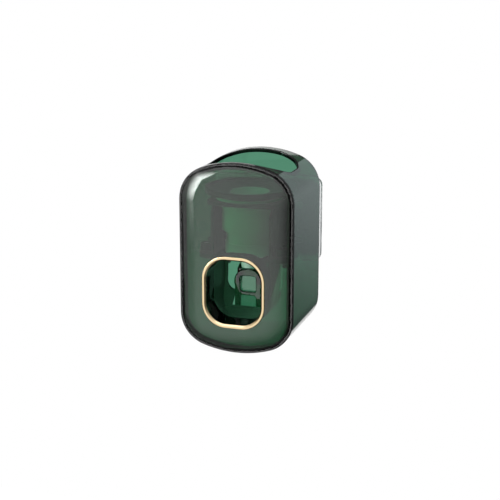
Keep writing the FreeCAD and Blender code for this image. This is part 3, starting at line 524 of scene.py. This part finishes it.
def dress_nodes():
    """Every CAD node gets its material."""
    shell = (SHELL_PASSES, SHELL_WALL)
    housing = clear_plastic("clear_green", *shell, SHELL_ROUGHNESS, housing_shade_lines)
    cover = clear_plastic("clear_green_cover", *shell, SHELL_ROUGHNESS, cover_shade_lines)
    lever = clear_plastic("clear_green_lever", *shell, INNER_ROUGHNESS)
    chamber = (CHAMBER_PASSES, CHAMBER_WALL)
    trough = clear_plastic("trough_painted_shade", *chamber, INNER_ROUGHNESS, trough_shade)
    plate = clear_plastic("clear_plate", PLATE_PASSES, PLATE_WALL, PLATE_ROUGHNESS)
    pump = moulded("pump_plastic", mottle(PUMP_COLOUR, PUMP_PALER), PUMP_ROUGHNESS)
    dark = moulded("dark_plastic", mottle(DARK_COLOUR, DARK_PALER), DARK_ROUGHNESS)
    dish = moulded("dish_plastic", dish_colour_with_lit_bore, DARK_ROUGHNESS)
    foam = moulded("pad_foam", mottle(FOAM_COLOUR, FOAM_PALER), FOAM_ROUGHNESS)
    gold = metal("gold_plating", GOLD_COLOUR, GOLD_PALER, GOLD_ROUGHNESS, GOLD_MARKS)
    steel = metal("steel", STEEL_COLOUR, STEEL_PALER, STEEL_ROUGHNESS, STEEL_MARKS)
    dress(housing, "housing_shell")
    dress(cover, "front_cover")
    dress(lever, "push_lever")
    dress(trough, "brush_chamber")
    dress(pump, "inlet_socket", "pump_body", "nozzle", "pump_piston", "tube_grommet")
    dress(pump, "inlet_valve", "outlet_valve", "piston_seal")
    dress(plate, "wall_plate")
    dress(foam, "adhesive_pad")
    dress(dark, "pump_frame")
    dress(dish, "funnel_dish")
    dress(gold, "trim_ring")
    dress(steel, "return_spring", "frame_screws", "lever_pin", "pin_clips")


def make_spring():
    """Return spring between its seat in the pump and the piston, as a copy of the part's mesh
    in its place.
    """
    coil = bpy.data.objects.new("spring_coil", NODES["return_spring"].data.copy())
    bpy.context.scene.collection.objects.link(coil)
    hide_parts("return_spring")
    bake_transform(coil)


def make_camera():
    data = bpy.data.cameras.new("camera")
    data.lens = CAMERA_LENS_MM
    data.sensor_width = SENSOR_MM
    data.sensor_fit = "HORIZONTAL"
    camera = bpy.data.objects.new("camera", data)
    camera.location = CAMERA_PLACE
    aim = Vector(CAMERA_TARGET) - Vector(CAMERA_PLACE)
    camera.rotation_euler = aim.to_track_quat("-Z", "Y").to_euler()
    bpy.context.scene.collection.objects.link(camera)
    bpy.context.scene.camera = camera


def make_world():
    """Room that lights the object mostly from the front and shows as white."""
    world = bpy.data.worlds.new("studio")
    bpy.context.scene.world = world
    tree = clear_nodes(world)
    output = tree.nodes.new("ShaderNodeOutputWorld")
    direction = tree.nodes.new("ShaderNodeTexCoord").outputs["Generated"]
    facing = tree.nodes.new("ShaderNodeVectorMath")
    facing.operation = "DOT_PRODUCT"
    facing.inputs[1].default_value = ROOM_FRONT_TOWARD
    tree.links.new(direction, facing.inputs[0])
    level = Field(tree, facing.outputs["Value"]).ramp(*ROOM_FADE, ROOM_DARK, ROOM_FRONT)
    sideways = split_vector(tree, direction)[0]
    level = level * sideways.ramp(*ROOM_RIGHT_FADE, *ROOM_RIGHT)
    level = level * sideways.ramp(*ROOM_LEFT_FADE, *ROOM_LEFT)
    light = add(tree, "ShaderNodeBackground", Color=(*WHITE, 1))
    tree.links.new(level.socket, light.inputs["Strength"])
    shown = add(tree, "ShaderNodeBackground", Color=(*WHITE, 1), Strength=1.0)
    both = light.outputs["Background"], shown.outputs["Background"]
    surface = blend_shader(tree, any_of(tree, "Is Camera Ray"), *both)
    tree.links.new(surface, output.inputs["Surface"])


def backdrop_material():
    """Grey card that is white to the camera, in reflections and through clear plastic."""
    material, tree, output = new_material("backdrop")
    seen = any_of(tree, "Is Camera Ray", "Is Glossy Ray", "Is Transmission Ray")
    white = add(tree, "ShaderNodeEmission", Color=(*WHITE, 1), Strength=1.0)
    card = diffuse(tree, (BACKDROP_GREY,) * 3)
    surface = blend_shader(tree, seen, card, white.outputs["Emission"])
    tree.links.new(surface, output.inputs["Surface"])
    return material


def floor_material():
    """Pale floor that is near white to the camera and still takes the object's shadow."""
    material, tree, output = new_material("floor")
    both = tree.nodes.new("ShaderNodeAddShader")
    tree.links.new(diffuse(tree, (FLOOR_GREY,) * 3), both.inputs[0])
    tree.links.new(glow(tree, any_of(tree, "Is Camera Ray") * FLOOR_WHITE), both.inputs[1])
    tree.links.new(both.outputs["Shader"], output.inputs["Surface"])
    return material


def stage_sheet(name, corners, faces, material):
    mesh = bpy.data.meshes.new(name)
    mesh.from_pydata(corners, [], faces)
    mesh.materials.append(material)
    for face in mesh.polygons:
        face.use_smooth = True
    sheet = bpy.data.objects.new(name, mesh)
    bpy.context.scene.collection.objects.link(sheet)
    return sheet


def swept_sheet(name, profile, material):
    """Sheet that runs the whole width of the stage along a profile of (y, z) points."""
    corners = [(side * STAGE_HALF_WIDTH, y, z) for y, z in profile for side in (-1, 1)]
    faces = [(2 * i, 2 * i + 1, 2 * i + 3, 2 * i + 2) for i in range(len(profile) - 1)]
    return stage_sheet(name, corners, faces, material)


def make_stage():
    """Floor, and a backdrop that rises from it in a cove."""
    floor = [(FLOOR_FRONT_Y, FLOOR_Z), (FLOOR_REAR_Y, FLOOR_Z)]
    swept_sheet("floor", floor, floor_material())
    radius = BACKDROP_Y - FLOOR_REAR_Y
    backdrop = []
    for step in range(COVE_STEPS + 1):
        angle = math.pi / 2 * step / COVE_STEPS
        y = FLOOR_REAR_Y + radius * math.sin(angle)
        z = FLOOR_Z + radius * (1 - math.cos(angle))
        backdrop.append((y, z))
    backdrop.append((BACKDROP_Y, FLOOR_Z + BACKDROP_HEIGHT))
    swept_sheet("backdrop", backdrop, backdrop_material())


def make_flag():
    """Card that only shows in reflections and grows brighter with height."""
    material, tree, output = new_material("right_flag")
    level = places(tree)[2].ramp(*FLAG_FADE, *FLAG_LEVELS)
    tree.links.new(glow(tree, level, FLAG_COLOUR), output.inputs["Surface"])
    (left, right), (low, high) = FLAG_SIDES, FLAG_ENDS
    rim = [(left, low), (right, low), (right, high), (left, high)]
    corners = [(x, FLAG_Y, z) for x, z in rim]
    sheet = stage_sheet("right_flag", corners, [(0, 1, 2, 3)], material)
    sheet.visible_camera = False
    sheet.visible_transmission = False
    sheet.visible_shadow = False
    sheet.visible_diffuse = False


def soft_panel(name, sides, ends, distance, radiance, fades):
    """Softbox between two azimuths and two elevations, in degrees, that fades at its edges.

    Azimuth 0 is in front and 90 on the left. The fades are the shares of its size over which
    the light falls off at the outer, inner, lower and upper edge.
    """
    turn = math.radians(sum(sides) / 2)
    rise = math.radians(sum(ends) / 2)
    flat = math.cos(rise)
    toward = Vector((-math.sin(turn) * flat, -math.cos(turn) * flat, math.sin(rise)))
    data = bpy.data.lights.new(name, "AREA")
    data.shape = "RECTANGLE"
    data.size = 2 * distance * math.tan(math.radians(sides[1] - sides[0]) / 2)
    data.size_y = 2 * distance * math.tan(math.radians(ends[1] - ends[0]) / 2)
    data.energy = radiance * math.pi * data.size * data.size_y
    tree = clear_nodes(data)
    output = tree.nodes.new("ShaderNodeOutputLight")
    geometry = tree.nodes.new("ShaderNodeNewGeometry")
    across, up, _ = split_vector(tree, geometry.outputs["Parametric"])
    outer, inner, lower, upper = fades
    strength = across.ramp(0.0, inner) * across.ramp(1.0, 1.0 - outer)
    strength = strength * up.ramp(0.0, lower) * up.ramp(1.0, 1.0 - upper)
    tree.links.new(glow(tree, strength), output.inputs["Surface"])
    lamp = bpy.data.objects.new(name, data)
    lamp.location = Vector(LIGHT_CENTRE) + toward * distance
    lamp.rotation_euler = (-toward).to_track_quat("-Z", "Y").to_euler()
    lamp.visible_camera = False
    bpy.context.scene.collection.objects.link(lamp)


dress_nodes()
make_spring()
make_camera()
make_world()
make_stage()
make_flag()
soft_panel(
    "left_strip", sides=(37, 70), ends=(-15.5, 42), distance=0.9, radiance=15.5,
    fades=(0.04, 0.9, 0.4, 0.26),
)
soft_panel(
    "top_panel", sides=(-20, 40), ends=(50, 100), distance=1.0, radiance=1.3,
    fades=(0.25, 0.25, 0.25, 0.25),
)

scene = bpy.context.scene
scene.view_settings.view_transform = "Standard"
scene.cycles.transparent_max_bounces = TRANSPARENT_BOUNCES
scene.cycles.max_bounces = LIGHT_BOUNCES
scene.cycles.transmission_bounces = LIGHT_BOUNCES
